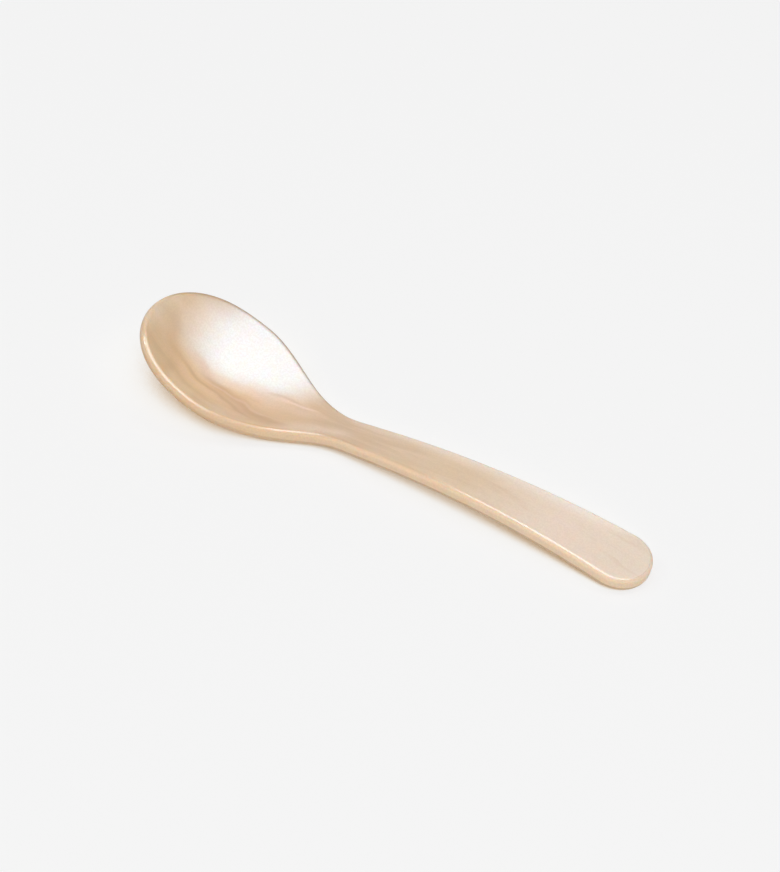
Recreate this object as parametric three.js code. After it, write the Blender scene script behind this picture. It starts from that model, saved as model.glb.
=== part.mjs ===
// Egg spoon, moulded in one piece: an oval bowl, a narrow neck and a flat, slightly arched handle.
// Millimetres. +X runs from the bowl's tip to the handle's end and +Z is up. The spoon stands on
// z = 0 on the bowl's underside and on the handle's end, with the origin below its middle.
import * as THREE from "three";

// Outline seen from above
const spoonLength = 125;
const bowlWidth = 30.6;
const tipToWidest = 19.7;
const tipFullness = 2.45;
const tipToNeck = 52;
const neckWidth = 8.2;
const handleEndWidth = 14.1;

// Side profile: the bowl's rim runs straight, tipped up from the arched handle
const rimTilt = THREE.MathUtils.degToRad(25.4);
const rimBendToNeck = 14.3;
const neckFilletRise = 3.6;
const archRadius = 192;
const neckToArchCrest = 31;

// Dish of the bowl
const bowlDepth = 6.8;
const tipToFullDepth = 17;
const fullDepthToWidest = 5.7;
const dishEndToNeck = 6;

// Section
const bowlWall = 2.4;
const handleThickness = 3.3;
const thickeningEndToNeck = 10;
const edgeRadius = 1;
const restFlatDepth = 0.12;

// Fineness of the mesh
const stationsPerSide = 64;
const stepsToMiddle = 6;
const stepsPerEdgeQuarter = 3;

const pearlColour = 0xdcc3a2;

// In all that follows s is the distance from the bowl's tip and y that from the centre line
const rimBend = tipToNeck - rimBendToNeck;
const archCrest = tipToNeck + neckToArchCrest;

// 0 before start, 1 after end, and a smooth rise between them
function smoothRise(start, end, s) {
  return THREE.MathUtils.smoothstep(s, start, end);
}

// Half of the width: a full oval, a curved shoulder, a straight widening handle and a half-round end
function halfWidth(s) {
  const bowlHalf = bowlWidth / 2;
  const neckHalf = neckWidth / 2;
  const endHalf = handleEndWidth / 2;
  const endStart = spoonLength - endHalf;
  const widening = (endHalf - neckHalf) / (endStart - tipToNeck);
  if (s < tipToWidest) {
    const toTip = Math.min((tipToWidest - s) / tipToWidest, 1);
    return bowlHalf * Math.sqrt(1 - toTip ** tipFullness);
  }
  if (s < tipToNeck) {
    const run = tipToNeck - tipToWidest;
    const u = (s - tipToWidest) / run;
    const fall = u * u * (3 - 2 * u);
    return bowlHalf * (1 - fall) + neckHalf * fall + widening * run * (u ** 3 - u ** 2);
  }
  const straight = neckHalf + widening * (s - tipToNeck);
  const intoEnd = THREE.MathUtils.clamp((s - endStart) / endHalf, 0, 1);
  return straight * Math.sqrt(1 - intoEnd ** 2);
}

// Height of the handle's arch, with its crest at 0
function archHeight(s) {
  return -((s - archCrest) ** 2) / (2 * archRadius);
}

// Height of the top edge: the tipped rim line and the arch, joined by a soft fillet
function edgeHeight(s) {
  const arch = archHeight(s);
  const rimLine = archHeight(rimBend) - Math.tan(rimTilt) * (s - rimBend);
  return (rimLine + arch) / 2 + Math.hypot((rimLine - arch) / 2, neckFilletRise);
}

function thickness(s) {
  const toHandle = smoothRise(tipToWidest, tipToNeck - thickeningEndToNeck, s);
  return bowlWall + (handleThickness - bowlWall) * toHandle;
}

// How far the middle of the bowl lies below its rim
function dishDepth(s) {
  const fromTip = s < tipToFullDepth ? 1 - (1 - s / tipToFullDepth) ** 2 : 1;
  const toNeck = smoothRise(tipToWidest - fullDepthToWidest, tipToNeck - dishEndToNeck, s);
  return bowlDepth * fromTip * (1 - toNeck);
}

// Height halfway through the wall
function wallMiddleHeight(s, y) {
  const across = y / halfWidth(s);
  return edgeHeight(s) - thickness(s) / 2 - dishDepth(s) * (1 - across ** 2);
}

// The wall's middle, its upward normal and its thickness
function wallPoint(s, y) {
  const step = 0.01;
  const slopeS = (wallMiddleHeight(s + step, y) - wallMiddleHeight(s - step, y)) / (2 * step);
  const slopeY = (wallMiddleHeight(s, y + step) - wallMiddleHeight(s, y - step)) / (2 * step);
  return {
    middle: new THREE.Vector3(s, y, wallMiddleHeight(s, y)),
    normal: new THREE.Vector3(-slopeS, -slopeY, 1).normalize(),
    thickness: thickness(s),
  };
}

// Stations along one side, closer together at the two round ends
function stationFromTip(k) {
  return (spoonLength / 2) * (1 - Math.cos((Math.PI * k) / stationsPerSide));
}

// Outward direction of the outline at station k on the side y > 0
function outlineNormal(k) {
  if (k === 0) return new THREE.Vector2(-1, 0);
  if (k === stationsPerSide) return new THREE.Vector2(1, 0);
  const step = 0.02;
  const before = stationFromTip(k - step);
  const after = stationFromTip(k + step);
  return new THREE.Vector2(halfWidth(before) - halfWidth(after), after - before).normalize();
}

// Point on the centre line that a station's row of points runs to: straight across along
// the spoon, and gathered towards the centre of each round end
function rowTarget(s) {
  const tipCentre = (bowlWidth / 2) ** 2 / tipToWidest;
  const endCentre = handleEndWidth / 2;
  const spread = 3;
  const fromTip = Math.max(0, 1 - s / (spread * tipCentre));
  const fromEnd = Math.max(0, 1 - (spoonLength - s) / (spread * endCentre));
  return s + tipCentre * fromTip ** 3 - endCentre * fromEnd ** 3;
}

// One row of points from the centre line over the top, round the edge and back underneath
function sectionRow(k, side) {
  const s = stationFromTip(k);
  const outward = outlineNormal(k);
  const insetS = s - edgeRadius * outward.x;
  const insetY = halfWidth(s) - edgeRadius * outward.y;
  const targetS = rowTarget(s);
  const top = [];
  const under = [];
  for (let step = 0; step < stepsToMiddle; step++) {
    const share = step / stepsToMiddle;
    const wall = wallPoint(targetS + (insetS - targetS) * share, insetY * share);
    top.push(wall.middle.clone().addScaledVector(wall.normal, wall.thickness / 2));
    under.push(wall.middle.clone().addScaledVector(wall.normal, -wall.thickness / 2));
  }
  const rim = wallPoint(insetS, insetY);
  const away = new THREE.Vector3(outward.x, outward.y, 0);
  away.addScaledVector(rim.normal, -away.dot(rim.normal)).normalize();
  for (let step = 0; step <= stepsPerEdgeQuarter; step++) {
    const turn = (Math.PI / 2) * (1 - step / stepsPerEdgeQuarter);
    const up = rim.thickness / 2 - edgeRadius + edgeRadius * Math.sin(turn);
    const out = edgeRadius * Math.cos(turn);
    top.push(rim.middle.clone().addScaledVector(rim.normal, up).addScaledVector(away, out));
    under.push(rim.middle.clone().addScaledVector(rim.normal, -up).addScaledVector(away, out));
  }
  const row = [...top, ...under.reverse()];
  for (const point of row) point.y *= side;
  return row;
}

// Rows all round the spoon; the two on the centre line are shared by both sides
function sectionRows() {
  const rows = [];
  for (let k = 0; k <= stationsPerSide; k++) rows.push(sectionRow(k, 1));
  for (let k = stationsPerSide - 1; k > 0; k--) rows.push(sectionRow(k, -1));
  return rows;
}

// Tip the spoon about Y until its bowl and its handle's end are equally low, stand it on
// z = 0, wear its underside flat there, and centre it over the origin
function standUp(rows) {
  const points = rows.flat();
  const lowest = (part) => part.reduce((low, point) => (point.z < low.z ? point : low));
  const turnings = 8;
  for (let n = 0; n < turnings; n++) {
    const bowlFoot = lowest(points.filter((point) => point.x < archCrest));
    const endFoot = lowest(points.filter((point) => point.x >= archCrest));
    const angle = Math.atan2(endFoot.z - bowlFoot.z, endFoot.x - bowlFoot.x);
    for (const point of points) point.applyAxisAngle(new THREE.Vector3(0, 1, 0), angle);
  }
  const floor = lowest(points).z + restFlatDepth;
  for (const point of points) point.z = Math.max(point.z - floor, 0);
  const box = new THREE.Box3().setFromPoints(points);
  const middleX = (box.min.x + box.max.x) / 2;
  for (const point of points) point.x -= middleX;
}

// Skin of four-sided cells between neighbouring rows; rows meet in one point on the centre line
function skin(rows) {
  const positions = [];
  const indexOf = new Map();
  const places = rows.map((row) => row.map((point) => {
    const key = point.toArray().map((value) => value.toFixed(3)).join(" ");
    if (!indexOf.has(key)) {
      indexOf.set(key, positions.length / 3);
      positions.push(point.x, point.y, point.z);
    }
    return indexOf.get(key);
  }));
  const triangles = [];
  const addTriangle = (a, b, c) => {
    if (a !== b && b !== c && c !== a) triangles.push(a, b, c);
  };
  for (let i = 0; i < places.length; i++) {
    const here = places[i];
    const next = places[(i + 1) % places.length];
    for (let j = 0; j + 1 < here.length; j++) {
      addTriangle(here[j], next[j], next[j + 1]);
      addTriangle(here[j], next[j + 1], here[j + 1]);
    }
  }
  const geometry = new THREE.BufferGeometry();
  geometry.setAttribute("position", new THREE.Float32BufferAttribute(positions, 3));
  geometry.setIndex(triangles);
  geometry.computeVertexNormals();
  return geometry;
}

function pearlMaterial() {
  return new THREE.MeshStandardMaterial({ color: pearlColour, roughness: 0.3, metalness: 0 });
}

function makeSpoon() {
  const rows = sectionRows();
  standUp(rows);
  const spoon = new THREE.Mesh(skin(rows), pearlMaterial());
  spoon.name = "spoon";
  return spoon;
}

const group = new THREE.Group();
group.add(makeSpoon());

export default group;
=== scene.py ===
"""Pearly egg spoon lying on white paper under three soft lamps, seen from its near side."""

import math
from collections import namedtuple

import bpy
import numpy as np
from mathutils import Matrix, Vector


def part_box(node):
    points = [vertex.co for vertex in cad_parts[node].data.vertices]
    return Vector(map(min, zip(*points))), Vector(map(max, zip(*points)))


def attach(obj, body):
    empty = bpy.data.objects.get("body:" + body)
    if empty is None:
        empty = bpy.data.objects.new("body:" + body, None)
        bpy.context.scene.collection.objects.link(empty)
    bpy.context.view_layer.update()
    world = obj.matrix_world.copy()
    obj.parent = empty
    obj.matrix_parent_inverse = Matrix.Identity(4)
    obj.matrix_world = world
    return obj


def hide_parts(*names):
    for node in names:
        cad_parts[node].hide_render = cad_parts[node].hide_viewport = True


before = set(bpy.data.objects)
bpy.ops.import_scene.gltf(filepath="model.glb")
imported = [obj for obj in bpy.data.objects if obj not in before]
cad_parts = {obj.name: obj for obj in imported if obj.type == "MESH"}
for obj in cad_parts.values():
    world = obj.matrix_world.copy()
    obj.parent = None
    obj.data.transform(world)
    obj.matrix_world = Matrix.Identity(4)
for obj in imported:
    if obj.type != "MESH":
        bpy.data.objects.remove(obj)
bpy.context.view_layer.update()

MM = 0.001

# The spoon's sizes in millimetres, as in the CAD source
SPOON_LENGTH = 125.0
BOWL_WIDTH = 30.6
TIP_TO_WIDEST = 19.7
TIP_FULLNESS = 2.45
TIP_TO_NECK = 52.0
NECK_WIDTH = 8.2
HANDLE_END_WIDTH = 14.1
RIM_TILT = math.radians(25.4)
RIM_BEND = TIP_TO_NECK - 14.3
NECK_FILLET_RISE = 3.6
ARCH_RADIUS = 192.0
ARCH_CREST = TIP_TO_NECK + 31.0
BOWL_DEPTH = 6.8
TIP_TO_FULL_DEPTH = 17.0
DISH_FADE_START = TIP_TO_WIDEST - 5.7
DISH_END = TIP_TO_NECK - 6.0
BOWL_WALL = 2.4
HANDLE_THICKNESS = 3.3
THICKENING_END = TIP_TO_NECK - 10.0
EDGE_RADIUS = 1.0
REST_FLAT_DEPTH = 0.12

# Fineness of the shown mesh, and the rounds of turning and lowering that stand it up
STATIONS = 240
STEPS_TO_MIDDLE = 18
STEPS_PER_EDGE_QUARTER = 8
STANDING_ROUNDS = 8

# How far from the tip and the handle's end the mesh's rows fan out, in radii of that end
FAN_REACH = 3.0

# The streaks' flow narrows towards the tip as an ellipse does up to this share of its half length
FLOW_AT_TIP = 0.8

# Keeps divisions clear of zero
TINY = 1e-9

# Colours as they should look on screen, 0 to 255
PAPER_WHITE = (244, 244, 244)
# Painted reflection: the white of the overhead lamp's sheen in the bowl
PAINTED_SHEEN_WHITE = (249, 248, 248)
LIGHT_CLOUD = (240, 214, 192)
DARK_CLOUD = (204, 170, 132)
GRAIN_SHADE = (180, 150, 120)
BOWL_EDGE = (230, 204, 174)
HANDLE_EDGE = (252, 227, 198)
# Painted shade: the bowl's edge on its far side, darker where less light falls
FAR_EDGE_PAINTED_SHADE = (180, 146, 106)
# Painted shade on the edge's lower rounding, where the spoon comes near the floor
UNDER_EDGE_PAINTED_SHADE = (190, 154, 112)

# The pearl's tone from the tip to the handle's end, by share of the length
TONE_ALONG = (
    (0.0, (230, 214, 192)),
    (0.04, (222, 190, 146)),
    (0.12, (232, 196, 146)),
    (0.27, (225, 191, 152)),
    (0.4, (213, 183, 150)),
    (0.62, (223, 198, 166)),
    (0.84, (235, 216, 198)),
    (1.0, (232, 216, 198)),
)

# From here on, a pair of places says where a change starts and where it is complete. Places along the
# spoon are in millimetres from the tip. Places across it are shares of the half width, near side negative.

# The noise that makes the streaks wander, and the clouds' noise: how fast each changes along and across,
# and the levels of the clouds' noise between which a light or a dark cloud forms
WANDER_PACE = (0.09, 1.3)
WANDER_REACH = 0.3
CLOUD_PACE = (0.05, 2.2)
CLOUD_SLICE = 3.0
LIGHT_CLOUD_LEVELS = (0.45, 0.75)
DARK_CLOUD_LEVELS = (0.5, 0.25)

# The painted sheen, a pale pool of painted reflection in the bowl where the overhead lamp is mirrored: its
# two ends along the spoon, how much further the end by the neck reaches per half width towards the far
# side, and its near shore, which curves towards the far side from a place on
SHEEN_TIP_END = (1.0, 15.0)
SHEEN_NECK_END = (38.0, 25.0)
SHEEN_NECK_SLANT = 8.0
SHEEN_SHORE = (-0.36, 0.18)
SHORE_CURVE_START = 6.0
SHORE_CURVE = 0.00045

# The pearl's streaks: start and end as (along, across), sideways bow, half width, colour and strength.
# A streak fades in and out over STREAK_FADE, in shares of its length.
STREAK_FADE = (-0.15, 0.25)
PEARL_STREAKS = (
    # The dark swirl on the pool's near side, a darker one in it, and the rosy tone by the pool
    ((16.0, -0.22), (40.0, -0.75), 0.05, 0.26, (206, 162, 120), 0.45),
    ((12.0, -0.05), (38.0, -0.62), 0.06, 0.13, (196, 152, 112), 0.4),
    ((9.0, -0.12), (31.0, -0.02), 0.05, 0.12, (240, 212, 192), 0.5),
    # Pale haze by the near shoulder and along the handle's far side
    ((37.0, -0.8), (54.0, -0.3), 0.0, 0.5, (240, 218, 198), 0.5),
    ((50.0, 0.95), (122.0, 0.95), 0.0, 0.65, (252, 242, 232), 0.6),
    # The tan far wall by the tip, and the pale tone between the pool and the neck
    ((-4.0, 0.9), (15.0, 1.0), 0.0, 0.35, (198, 170, 140), 0.65),
    ((26.0, 0.0), (44.0, 0.12), 0.0, 0.3, (232, 208, 188), 0.45),
    # A light and a dark vein between the pool and the neck
    ((31.0, 0.13), (42.0, 0.32), 0.03, 0.08, (246, 220, 204), 0.7),
    ((28.5, 0.18), (37.0, 0.33), 0.0, 0.06, (212, 182, 156), 0.4),
    # The amber near wall by the tip, and a pale patch on it
    ((4.0, 0.1), (13.0, -0.75), 0.0, 0.3, (206, 162, 114), 0.3),
    ((12.0, -0.74), (19.0, -0.8), 0.0, 0.16, (242, 210, 176), 0.6),
    # Thin light and dark veins along the near wall
    ((8.0, -0.42), (26.0, -0.5), 0.0, 0.08, (234, 198, 160), 0.4),
    ((9.0, -0.28), (31.0, -0.6), 0.07, 0.06, (188, 144, 102), 0.32),
    ((15.0, -0.2), (35.0, -0.4), 0.03, 0.05, (242, 212, 186), 0.32),
    ((10.0, -0.6), (27.0, -0.72), 0.04, 0.06, (190, 146, 104), 0.12),
)

# Where the corner and the side of the edge's rounding come in, from 0 on the flat to 1 at the outline, and
# where the painted shade on the lower half comes in, from 0 on the upper half to 1 on the lower
EDGE_CORNER = (0.0, 0.3)
EDGE_SIDE = (0.3, 1.0)
LOWER_HALF = (0.8, 1.0)

# Where the edge's tone changes from the bowl's to the handle's, where painted shade makes its far side tan
# on the bowl, and where the painted shade on its lower rounding grows stronger
EDGE_TONE_CHANGE = (20.0, 60.0)
FAR_SHADE_ACROSS = (0.1, 0.8)
FAR_SHADE_END = (64.0, 44.0)
UNDER_SHADE_CHANGE = (25.0, 60.0)

# The fine grain's scale per metre, the levels of its noise between which it shades and roughens the pearl,
# and what the gloss on the edge's rounding is dimmed to
GRAIN_SCALE = 2600.0
GRAIN_SHADE_LEVELS = (0.35, 0.65)
GRAIN_ROUGH_LEVELS = (0.3, 0.7)
WHITE = (1.0, 1.0, 1.0, 1.0)
EDGE_GLOSS = (0.12, 0.12, 0.12, 1.0)

# The polished line along the edge: where it comes in on the rounding, and the upward part of the surface's
# normal where it starts and ends. It is duller in stretches, given by both ends and the share that is lost,
# on the bowl's far side, and at the tip.
POLISH_CORNER = (0.12, 0.3)
POLISH_START = (0.78, 0.88)
POLISH_END = (0.985, 0.955)
DULL_STRETCHES = (
    ((46.0, 54.0), (80.0, 70.0), 0.8),
    ((22.0, 27.0), (38.0, 34.0), 0.75),
)
DULL_FAR_ACROSS = (0.0, 0.35)
DULL_FAR_END = (60.0, 44.0)
DULL_FAR_LOSS = 1.0
DULL_TIP_END = (6.5, 3.0)
DULL_TIP_LOSS = 0.9

# The floor's glow by how open the space above it is, which dims to a warm painted shadow near the spoon,
# and its share of what the camera sees. Openness is measured up to a distance, about a direction given as
# the camera's right, away from it and up.
FLOOR_GLOW_AND_PAINTED_SHADOW = (
    (0.44, (158, 122, 78)),
    (0.5, (206, 170, 124)),
    (0.56, (240, 225, 207)),
    (0.62, (251, 248, 243)),
    (0.7, (252, 251, 249)),
    (0.78, (251, 251, 250)),
    (0.85, (246, 246, 246)),
)
GLOW_SHARE = 0.75
OPENNESS_REACH = 60 * MM
OPENNESS_DIRECTION = (0.5, -1.2, 1.0)
OPENNESS_SAMPLES = 16

# The floor's half width in metres
FLOOR_REACH = 4.0

# The photograph's camera: its aim and place in millimetres, its lens, and its turn from looking along Y
CAMERA_AIM = (-5.38, 8.05, 0.0)
CAMERA_PLACE = (199.85, -301.7, 334.57)
CAMERA_LENS = 94.92
CAMERA_TURN = math.radians(33.525)

# The lamps' distance in metres, and the strength of the world's own light
LAMP_DISTANCE = 2.0
WORLD_LIGHT = 0.2


def smooth_rise(start, end, along):
    share = np.clip((along - start) / (end - start), 0.0, 1.0)
    return share * share * (3.0 - 2.0 * share)


def straight_half_width(along):
    """Half width of the handle's straight sides, carried on in both directions, and how fast it grows."""
    end_start = SPOON_LENGTH - HANDLE_END_WIDTH / 2
    widening = (HANDLE_END_WIDTH - NECK_WIDTH) / 2 / (end_start - TIP_TO_NECK)
    return NECK_WIDTH / 2 + widening * (along - TIP_TO_NECK), widening


def half_width(along):
    straight, widening = straight_half_width(along)
    to_tip = np.clip((TIP_TO_WIDEST - along) / TIP_TO_WIDEST, 0.0, 1.0)
    bowl = BOWL_WIDTH / 2 * np.sqrt(1 - to_tip**TIP_FULLNESS)
    run = TIP_TO_NECK - TIP_TO_WIDEST
    share = np.clip((along - TIP_TO_WIDEST) / run, 0.0, 1.0)
    fall = share * share * (3 - 2 * share)
    into_slope = widening * run * (share**3 - share**2)
    shoulder = BOWL_WIDTH / 2 * (1 - fall) + NECK_WIDTH / 2 * fall + into_slope
    end_half = HANDLE_END_WIDTH / 2
    into_end = np.clip((along - (SPOON_LENGTH - end_half)) / end_half, 0.0, 1.0)
    handle = straight * np.sqrt(1 - into_end**2)
    return np.where(along < TIP_TO_WIDEST, bowl, np.where(along < TIP_TO_NECK, shoulder, handle))


def arch_height(along):
    return -((along - ARCH_CREST) ** 2) / (2 * ARCH_RADIUS)


def edge_height(along):
    arch = arch_height(along)
    rim_line = arch_height(RIM_BEND) - math.tan(RIM_TILT) * (along - RIM_BEND)
    return (rim_line + arch) / 2 + np.hypot((rim_line - arch) / 2, NECK_FILLET_RISE)


def thickness(along):
    return BOWL_WALL + (HANDLE_THICKNESS - BOWL_WALL) * smooth_rise(TIP_TO_WIDEST, THICKENING_END, along)


def dish_depth(along):
    from_tip = np.where(along < TIP_TO_FULL_DEPTH, 1 - (1 - along / TIP_TO_FULL_DEPTH) ** 2, 1.0)
    return BOWL_DEPTH * from_tip * (1 - smooth_rise(DISH_FADE_START, DISH_END, along))


def wall_middle(along, y):
    across = y / np.maximum(half_width(along), TINY)
    return edge_height(along) - thickness(along) / 2 - dish_depth(along) * (1 - across**2)


def unit(vectors):
    return vectors / np.maximum(np.linalg.norm(vectors, axis=-1, keepdims=True), TINY)


def wall_points(along, y):
    """Points halfway through the wall, with their upward normals."""
    step = 0.01
    slope_along = (wall_middle(along + step, y) - wall_middle(along - step, y)) / (2 * step)
    slope_y = (wall_middle(along, y + step) - wall_middle(along, y - step)) / (2 * step)
    points = np.stack([along, y, wall_middle(along, y)], axis=-1)
    return points, unit(np.stack([-slope_along, -slope_y, np.ones_like(along)], axis=-1))


def station(number):
    """How far from the tip a station is, by its number: they are closer together towards both ends."""
    return SPOON_LENGTH / 2 * (1 - np.cos(np.pi * number / STATIONS))


def outline_normal(number):
    """The outline's outward direction at each station, straight on at the tip and the handle's end."""
    step = 0.02
    before, after = station(number - step), station(number + step)
    outward = unit(np.stack([half_width(before) - half_width(after), after - before], axis=-1))
    outward[0] = (-1.0, 0.0)
    outward[-1] = (1.0, 0.0)
    return outward


def row_target(along):
    """Where each station's row meets the centre line."""
    tip_radius = (BOWL_WIDTH / 2) ** 2 / TIP_TO_WIDEST
    end_radius = HANDLE_END_WIDTH / 2
    from_tip = np.maximum(0.0, 1 - along / (FAN_REACH * tip_radius))
    from_end = np.maximum(0.0, 1 - (SPOON_LENGTH - along) / (FAN_REACH * end_radius))
    return along + tip_radius * from_tip**3 - end_radius * from_end**3


def flat_rows(along, inset_along, inset_y):
    """Top and underside from the centre line to where the edge's rounding starts."""
    share = np.arange(STEPS_TO_MIDDLE) / STEPS_TO_MIDDLE
    target = row_target(along)[:, None]
    inner_along = target + (inset_along[:, None] - target) * share
    inner_y = inset_y[:, None] * share
    middle, normal = wall_points(inner_along, inner_y)
    half = thickness(inner_along)[..., None] / 2
    return middle + normal * half, middle - normal * half


def edge_rows(outward, inset_along, inset_y):
    """The edge's upper and lower rounding, each from the flat side outward."""
    rim, rim_normal = wall_points(inset_along, inset_y)
    away = np.concatenate([outward, np.zeros_like(inset_along)[:, None]], axis=1)
    away = unit(away - (away * rim_normal).sum(1, keepdims=True) * rim_normal)
    turn = np.pi / 2 * (1 - np.arange(STEPS_PER_EDGE_QUARTER + 1) / STEPS_PER_EDGE_QUARTER)
    up = thickness(inset_along)[:, None] / 2 - EDGE_RADIUS + EDGE_RADIUS * np.sin(turn)
    rise = rim_normal[:, None, :] * up[..., None]
    out = (EDGE_RADIUS * np.cos(turn))[None, :, None] * away[:, None, :]
    return rim[:, None, :] + rise + out, rim[:, None, :] - rise + out


def half_rows():
    """Rows from the centre line over the top, round the edge and back underneath, for one side."""
    number = np.arange(STATIONS + 1.0)
    along = station(number)
    outward = outline_normal(number)
    inset_along = along - EDGE_RADIUS * outward[:, 0]
    inset_y = half_width(along) - EDGE_RADIUS * outward[:, 1]
    top, under = flat_rows(along, inset_along, inset_y)
    edge_top, edge_under = edge_rows(outward, inset_along, inset_y)
    return np.concatenate([top, edge_top, edge_under[:, ::-1], under[:, ::-1]], axis=1)


def edge_and_lower():
    """Two values for each point of a row: how far out on the edge's rounding, and 1 on the lower half."""
    flat = np.zeros(STEPS_TO_MIDDLE)
    rounding = np.sin(np.pi / 2 * np.arange(STEPS_PER_EDGE_QUARTER + 1) / STEPS_PER_EDGE_QUARTER)
    edge = np.concatenate([flat, rounding, rounding[::-1], flat])
    return edge, np.repeat((0.0, 1.0), STEPS_TO_MIDDLE + STEPS_PER_EDGE_QUARTER + 1)


def both_sides(rows, mirror):
    """The rows of one side, followed by those of the other in reverse order, times their mirror factor."""
    return np.concatenate([rows, rows[1:-1][::-1] * mirror])


def stand_up(points):
    """The points turned about Y and lowered until bowl and handle's end stand on z = 0."""
    flat = points.reshape(-1, 3).copy()
    for _ in range(STANDING_ROUNDS):
        bowl = flat[flat[:, 0] < ARCH_CREST]
        end = flat[flat[:, 0] >= ARCH_CREST]
        bowl_foot = bowl[bowl[:, 2].argmin()]
        end_foot = end[end[:, 2].argmin()]
        angle = math.atan2(end_foot[2] - bowl_foot[2], end_foot[0] - bowl_foot[0])
        x, z = flat[:, 0].copy(), flat[:, 2].copy()
        flat[:, 0] = x * math.cos(angle) + z * math.sin(angle)
        flat[:, 2] = z * math.cos(angle) - x * math.sin(angle)
    flat[:, 2] = np.maximum(flat[:, 2] - flat[:, 2].min() - REST_FLAT_DEPTH, 0.0)
    return flat.reshape(points.shape)


def fit_to_box(points, low, high):
    """The points stretched, by less than a thousandth, to the box of the CAD node they stand for."""
    own_low, own_high = points.reshape(-1, 3).min(0), points.reshape(-1, 3).max(0)
    low, high = np.array(low), np.array(high)
    return low + (points - own_low) * (high - low) / (own_high - own_low)


def flow_half_width(along):
    """Half width that the pearl's streaks follow: they fan out in the bowl and run off both ends."""
    to_tip = np.clip((TIP_TO_WIDEST - along) / TIP_TO_WIDEST, 0.0, 1.0)
    bowl = BOWL_WIDTH / 2 * np.sqrt(1 - (FLOW_AT_TIP * to_tip) ** 2)
    straight, _ = straight_half_width(along)
    return np.where(along < TIP_TO_WIDEST, bowl, np.where(along < TIP_TO_NECK, half_width(along), straight))


def shared_points(rows, columns):
    """The points in use, and their numbers by row and column: mirrored rows share their two end points."""
    index = np.arange(rows * columns).reshape(rows, columns)
    for row in range(STATIONS + 1, rows):
        twin = rows - row
        index[row, 0] = index[twin, 0]
        index[row, -1] = index[twin, -1]
    used, compact = np.unique(index, return_inverse=True)
    return used, compact.reshape(rows, columns)


def ring_faces(index):
    """Faces between each row and the following one, with the last row joined to the first."""
    following = np.roll(index, -1, axis=0)
    corners = (index[:, :-1], following[:, :-1], following[:, 1:], index[:, 1:])
    faces = []
    for quad in np.stack(corners, axis=-1).reshape(-1, 4).tolist():
        distinct = list(dict.fromkeys(quad))
        if len(distinct) > 2:
            faces.append(distinct)
    return faces


def spoon_mesh():
    """The spoon in its CAD node's box, with the pearl's own coordinates as attributes of its points."""
    half = half_rows()
    points = both_sides(stand_up(half), np.array([1.0, -1.0, 1.0]))
    points = fit_to_box(points, *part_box("spoon"))
    along = both_sides(half[..., 0], 1.0)
    across = both_sides(half[..., 1] / flow_half_width(half[..., 0]), -1.0)
    edge, lower = edge_and_lower()
    used, index = shared_points(*along.shape)
    mesh = bpy.data.meshes.new("spoon_pearl")
    mesh.from_pydata(points.reshape(-1, 3)[used].tolist(), [], ring_faces(index))
    for name, values in (("along", along), ("across", across), ("edge", edge), ("lower", lower)):
        layer = mesh.attributes.new(name, "FLOAT", "POINT")
        by_point = np.broadcast_to(values, along.shape).reshape(-1)[used]
        layer.data.foreach_set("value", by_point.astype(np.float32))
    mesh.validate()
    mesh.shade_smooth()
    return mesh


def srgb(colour):
    """A colour that is written as it should look on screen, as linear red, green, blue and alpha."""
    linear = []
    for level in colour:
        share = level / 255
        linear.append(share / 12.92 if share <= 0.04045 else ((share + 0.055) / 1.055) ** 2.4)
    return (*linear, 1.0)


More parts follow.
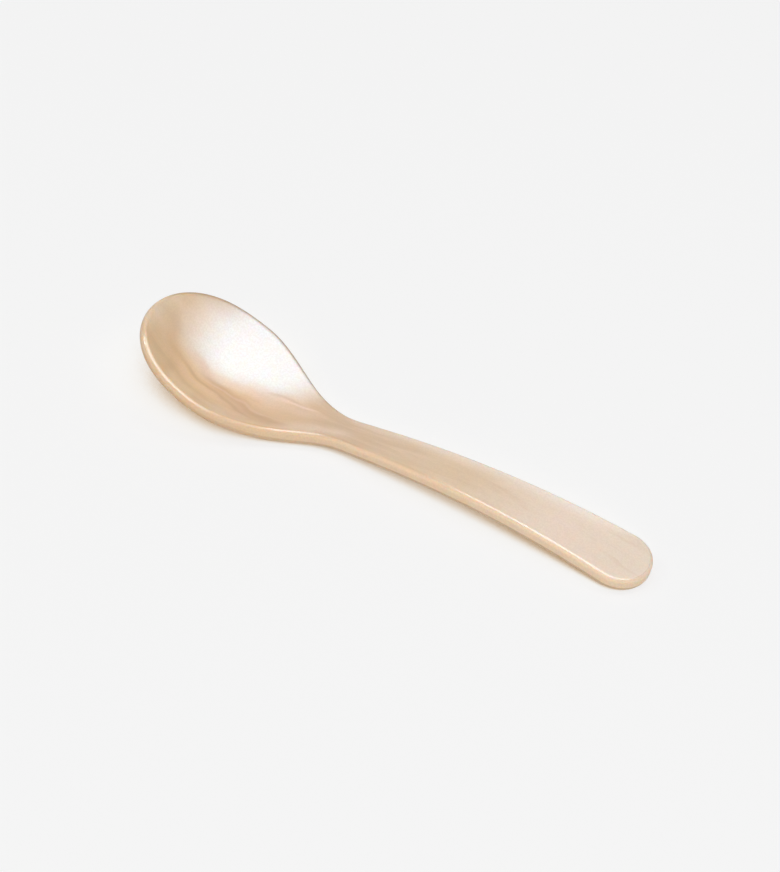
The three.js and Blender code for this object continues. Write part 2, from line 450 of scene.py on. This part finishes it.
class Nodes:
    """Short calls for building one node tree."""

    def __init__(self, tree):
        self.tree = tree

    def node(self, kind, **settings):
        made = self.tree.nodes.new(kind)
        for key, value in settings.items():
            setattr(made, key, value)
        return made

    def put(self, socket, value):
        if isinstance(value, bpy.types.NodeSocket):
            self.tree.links.new(value, socket)
        else:
            socket.default_value = value

    def fill(self, made, values):
        """The node's first output, once the values are on its first sockets."""
        for socket, value in zip(made.inputs, values):
            self.put(socket, value)
        return made.outputs[0]

    def attribute(self, name):
        return self.node("ShaderNodeAttribute", attribute_name=name).outputs["Fac"]

    def math(self, operation, *values):
        return self.fill(self.node("ShaderNodeMath", operation=operation), values)

    def times(self, first, second):
        return self.math("MULTIPLY", first, second)

    def vector(self, x, y, z=0.0):
        return self.fill(self.node("ShaderNodeCombineXYZ"), (x, y, z))

    def step(self, value, start, end, low=0.0, high=1.0):
        """A smooth change from low to high as the value goes from start to end."""
        made = self.node("ShaderNodeMapRange", interpolation_type="SMOOTHSTEP")
        return self.fill(made, (value, start, end, low, high))

    def noise(self, vector, scale, detail=2.0, distortion=0.0):
        made = self.node("ShaderNodeTexNoise")
        self.put(made.inputs["Vector"], vector)
        self.put(made.inputs["Scale"], scale)
        self.put(made.inputs["Detail"], detail)
        self.put(made.inputs["Distortion"], distortion)
        return made.outputs["Fac"]

    def ramp(self, value, stops):
        made = self.node("ShaderNodeValToRGB")
        made.color_ramp.interpolation = "EASE"
        elements = made.color_ramp.elements
        while len(elements) < len(stops):
            elements.new(0.5)
        for element, (position, colour) in zip(elements, stops):
            element.position = position
            element.color = srgb(colour)
        self.put(made.inputs["Fac"], value)
        return made.outputs["Color"]

    def mix(self, share, first, second):
        made = self.node("ShaderNodeMix", data_type="RGBA")
        self.put(made.inputs["Factor"], share)
        colours = [socket for socket in made.inputs if socket.type == "RGBA"]
        self.put(colours[0], first)
        self.put(colours[1], second)
        return [socket for socket in made.outputs if socket.type == "RGBA"][0]

    def mix_shaders(self, share, first, second):
        return self.fill(self.node("ShaderNodeMixShader"), (share, first, second))

    def seen(self):
        """1 on rays from the camera and on those that come off gloss or through glass, 0 on others."""
        path = self.node("ShaderNodeLightPath").outputs
        mirrored = self.math("MAXIMUM", path["Is Glossy Ray"], path["Is Transmission Ray"])
        return self.math("MAXIMUM", path["Is Camera Ray"], mirrored)


def new_material(name):
    """A material, with the short calls for its node tree and its shader."""
    material = bpy.data.materials.new(name)
    material.use_nodes = True
    return material, Nodes(material.node_tree), material.node_tree.nodes["Principled BSDF"]


Surface = namedtuple("Surface", "along across wander edge lower")


def spoon_surface(nodes):
    """The spoon's own coordinates as sockets. Wander is across, with a sway for clouds and streaks."""
    along, across = nodes.attribute("along"), nodes.attribute("across")
    pace_along, pace_across = WANDER_PACE
    flow = nodes.vector(nodes.times(along, pace_along), nodes.times(across, pace_across))
    drift = nodes.noise(flow, 1.0)
    wander = nodes.math("MULTIPLY_ADD", nodes.math("SUBTRACT", drift, 0.5), WANDER_REACH, across)
    return Surface(along, across, wander, nodes.attribute("edge"), nodes.attribute("lower"))


def add_clouds(nodes, surface, colour):
    """Lighter and darker clouds, drawn out along the spoon."""
    pace_along, pace_across = CLOUD_PACE
    flow_along = nodes.times(surface.along, pace_along)
    flow_across = nodes.times(surface.wander, pace_across)
    flow = nodes.vector(flow_along, flow_across, CLOUD_SLICE)
    clouds = nodes.noise(flow, 1.6, detail=4.0, distortion=0.6)
    light = nodes.step(clouds, *LIGHT_CLOUD_LEVELS, high=0.35)
    dark = nodes.step(clouds, *DARK_CLOUD_LEVELS, high=0.3)
    return nodes.mix(dark, nodes.mix(light, colour, srgb(LIGHT_CLOUD)), srgb(DARK_CLOUD))


def add_painted_sheen(nodes, surface, colour):
    """The painted sheen: a pale pool of painted reflection, on the bowl's inside only."""
    reach = nodes.math("POWER", nodes.math("SUBTRACT", surface.along, SHORE_CURVE_START), 2.0)
    shore = nodes.step(nodes.math("MULTIPLY_ADD", reach, -SHORE_CURVE, surface.wander), *SHEEN_SHORE)
    slanted = nodes.math("MULTIPLY_ADD", surface.wander, -SHEEN_NECK_SLANT, surface.along)
    ends = nodes.times(nodes.step(surface.along, *SHEEN_TIP_END), nodes.step(slanted, *SHEEN_NECK_END))
    inside = nodes.times(ends, nodes.step(surface.lower, 1.0, 0.0))
    # Painted reflection: the bowl's inside is whitened where the lamp's sheen lies
    return nodes.mix(nodes.times(inside, shore), colour, srgb(PAINTED_SHEEN_WHITE))


def streak(nodes, surface, start, end, bow, half):
    """Share of one streak: from start to end, bowed sideways by bow, and gone at half to each side."""
    progress = nodes.math("DIVIDE", nodes.math("SUBTRACT", surface.along, start[0]), end[0] - start[0])
    rest = nodes.math("SUBTRACT", 1.0, progress)
    straight = nodes.math("MULTIPLY_ADD", progress, end[1] - start[1], start[1])
    # progress times rest is a quarter in the middle of the streak
    bowed = nodes.times(nodes.times(progress, rest), 4 * bow)
    centre = nodes.math("ADD", straight, bowed)
    offset = nodes.math("ABSOLUTE", nodes.math("SUBTRACT", surface.wander, centre))
    lengthwise = nodes.times(nodes.step(progress, *STREAK_FADE), nodes.step(rest, *STREAK_FADE))
    return nodes.times(nodes.step(offset, half, 0.0), lengthwise)


def add_streaks(nodes, surface, colour):
    for start, end, bow, half, tint, strength in PEARL_STREAKS:
        share = streak(nodes, surface, start, end, bow, half)
        colour = nodes.mix(nodes.times(share, strength), colour, srgb(tint))
    return colour


def add_edge_tones(nodes, surface, colour):
    """The edge's own tone, with painted shade that turns it tan on the bowl's far side and darker on its
    lower rounding.
    """
    tone = nodes.mix(nodes.step(surface.along, *EDGE_TONE_CHANGE), srgb(BOWL_EDGE), srgb(HANDLE_EDGE))
    # Painted shade: the edge on the bowl's far side is darkened to tan
    far_side = nodes.step(surface.across, *FAR_SHADE_ACROSS)
    far_bowl = nodes.times(far_side, nodes.step(surface.along, *FAR_SHADE_END))
    tone = nodes.mix(far_bowl, tone, srgb(FAR_EDGE_PAINTED_SHADE))
    colour = nodes.mix(nodes.step(surface.edge, *EDGE_SIDE, high=0.85), colour, tone)
    # Painted shade: the lower rounding is darkened as if in the spoon's contact shadow
    under = nodes.times(nodes.step(surface.edge, *EDGE_CORNER), nodes.step(surface.lower, *LOWER_HALF))
    strength = nodes.step(surface.along, *UNDER_SHADE_CHANGE, low=0.2, high=0.55)
    return nodes.mix(nodes.times(under, strength), colour, srgb(UNDER_EDGE_PAINTED_SHADE))


def pearl_colour(nodes, surface):
    """Cream pearl: a slow change along the spoon, then clouds, the bowl's pool of painted reflection,
    streaks and the edge with its painted shade.
    """
    colour = nodes.ramp(nodes.math("DIVIDE", surface.along, SPOON_LENGTH), TONE_ALONG)
    colour = add_clouds(nodes, surface, colour)
    colour = add_painted_sheen(nodes, surface, colour)
    colour = add_streaks(nodes, surface, colour)
    return add_edge_tones(nodes, surface, colour)


def dulled(nodes, polish, share, loss):
    """The polish, less the loss where share is 1."""
    return nodes.times(polish, nodes.math("MULTIPLY_ADD", share, -loss, 1.0))


def edge_polish(nodes, surface):
    """A narrow polished line where the edge's upper rounding faces steeply up, duller in some stretches."""
    normal = nodes.node("ShaderNodeSeparateXYZ")
    nodes.put(normal.inputs[0], nodes.node("ShaderNodeNewGeometry").outputs["Normal"])
    upward = normal.outputs["Z"]
    steep = nodes.times(nodes.step(upward, *POLISH_START), nodes.step(upward, *POLISH_END))
    corner = nodes.times(nodes.step(surface.edge, *POLISH_CORNER), steep)
    polish = nodes.times(corner, nodes.math("SUBTRACT", 1.0, surface.lower))
    for start, end, loss in DULL_STRETCHES:
        stretch = nodes.times(nodes.step(surface.along, *start), nodes.step(surface.along, *end))
        polish = dulled(nodes, polish, stretch, loss)
    far_side = nodes.step(surface.across, *DULL_FAR_ACROSS)
    far_bowl = nodes.times(far_side, nodes.step(surface.along, *DULL_FAR_END))
    polish = dulled(nodes, polish, far_bowl, DULL_FAR_LOSS)
    return dulled(nodes, polish, nodes.step(surface.along, *DULL_TIP_END), DULL_TIP_LOSS)


def pearl_material():
    """Satin pearl that light sinks into a little, with a fine grain and a polished line along the edge."""
    material, nodes, shader = new_material("pearl")
    surface = spoon_surface(nodes)
    grain = nodes.noise(nodes.node("ShaderNodeTexCoord").outputs["Object"], GRAIN_SCALE)
    grain_shade = nodes.step(grain, *GRAIN_SHADE_LEVELS, low=0.12, high=0.0)
    colour = nodes.mix(grain_shade, pearl_colour(nodes, surface), srgb(GRAIN_SHADE))
    rim = nodes.step(surface.edge, *EDGE_CORNER)
    nodes.put(shader.inputs["Base Color"], colour)
    nodes.put(shader.inputs["Roughness"], nodes.step(grain, *GRAIN_ROUGH_LEVELS, low=0.42, high=0.5))
    nodes.put(shader.inputs["Specular Tint"], nodes.mix(rim, WHITE, EDGE_GLOSS))
    nodes.put(shader.inputs["Coat Weight"], edge_polish(nodes, surface))
    shader.inputs["IOR"].default_value = 1.8
    shader.inputs["Coat Roughness"].default_value = 0.08
    shader.inputs["Coat IOR"].default_value = 2.2
    shader.inputs["Subsurface Weight"].default_value = 1.0
    shader.inputs["Subsurface Radius"].default_value = (1.0, 0.62, 0.36)
    shader.inputs["Subsurface Scale"].default_value = 0.45 * MM
    return material


def floor_material():
    """White paper whose whites are lifted where it is seen: a glow that only the spoon's closeness dims
    into a warm painted shadow.
    """
    material, nodes, paper = new_material("floor_paper")
    paper.inputs["Base Color"].default_value = srgb(PAPER_WHITE)
    paper.inputs["Roughness"].default_value = 1.0
    paper.inputs["Specular IOR Level"].default_value = 0.0
    openness = nodes.node("ShaderNodeAmbientOcclusion", samples=OPENNESS_SAMPLES)
    openness.inputs["Distance"].default_value = OPENNESS_REACH
    nodes.put(openness.inputs["Normal"], nodes.vector(*view_direction(*OPENNESS_DIRECTION)))
    glow = nodes.node("ShaderNodeEmission")
    # Painted shadow: the glow turns warm brown where the spoon is close
    nodes.put(glow.inputs["Color"], nodes.ramp(openness.outputs["AO"], FLOOR_GLOW_AND_PAINTED_SHADOW))
    lifted = nodes.mix_shaders(GLOW_SHARE, paper.outputs["BSDF"], glow.outputs["Emission"])
    shown = nodes.mix_shaders(nodes.seen(), paper.outputs["BSDF"], lifted)
    nodes.put(material.node_tree.nodes["Material Output"].inputs["Surface"], shown)
    return material


def make_spoon():
    spoon = bpy.data.objects.new("pearl_spoon", spoon_mesh())
    bpy.context.scene.collection.objects.link(spoon)
    spoon.data.materials.append(pearl_material())
    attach(spoon, "root")
    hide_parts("spoon")


def make_floor():
    mesh = bpy.data.meshes.new("floor")
    corners = [(x * FLOOR_REACH, y * FLOOR_REACH, 0) for x, y in ((-1, -1), (1, -1), (1, 1), (-1, 1))]
    mesh.from_pydata(corners, [], [(0, 1, 2, 3)])
    floor = bpy.data.objects.new("floor", mesh)
    bpy.context.scene.collection.objects.link(floor)
    mesh.materials.append(floor_material())


def make_camera():
    """The photograph's camera: half a metre away, 42 degrees up, in front of the spoon's near side."""
    aim, place = Vector(CAMERA_AIM) * MM, Vector(CAMERA_PLACE) * MM
    data = bpy.data.cameras.new("photo_camera")
    data.sensor_width = 36.0
    data.lens = CAMERA_LENS
    data.clip_start = 0.01
    camera = bpy.data.objects.new("photo_camera", data)
    camera.location = place
    camera.rotation_euler = (aim - place).to_track_quat("-Z", "Y").to_euler()
    bpy.context.scene.collection.objects.link(camera)
    bpy.context.scene.camera = camera


def view_direction(right, away, up):
    """A direction given as the camera's right, away from it along the floor, and up."""
    return Vector((
        right * math.cos(CAMERA_TURN) - away * math.sin(CAMERA_TURN),
        right * math.sin(CAMERA_TURN) + away * math.cos(CAMERA_TURN),
        up,
    )).normalized()


def make_softbox(name, direction, width, watts, mirrored=True):
    """A round softbox that faces the spoon, with or without its mirror image in gloss."""
    data = bpy.data.lights.new(name, "AREA")
    data.shape = "DISK"
    data.size = width
    data.energy = watts
    lamp = bpy.data.objects.new(name, data)
    lamp.visible_glossy = mirrored
    lamp.location = direction * LAMP_DISTANCE
    lamp.rotation_euler = (-direction).to_track_quat("-Z", "Y").to_euler()
    bpy.context.scene.collection.objects.link(lamp)


def make_lamps():
    make_softbox("softbox_above", view_direction(0.05, -0.12, 1.0), width=2.4, watts=24.0)
    make_softbox("softbox_front", view_direction(0.1, -0.85, 1.0), width=1.2, watts=13.0, mirrored=False)
    make_softbox("softbox_left", view_direction(-0.66, 0.2, 0.7), width=0.5, watts=4.5)


def make_world():
    """A white world that gives little light, and is as bright as the paper where it is seen."""
    world = bpy.data.worlds.new("studio")
    bpy.context.scene.world = world
    world.use_nodes = True
    nodes = Nodes(world.node_tree)
    background = world.node_tree.nodes["Background"]
    background.inputs["Color"].default_value = WHITE
    strength = nodes.step(nodes.seen(), 0.0, 1.0, low=WORLD_LIGHT, high=srgb(PAPER_WHITE)[0])
    nodes.put(background.inputs["Strength"], strength)


make_camera()
make_spoon()
make_floor()
make_lamps()
make_world()
bpy.context.scene.view_settings.view_transform = "Standard"
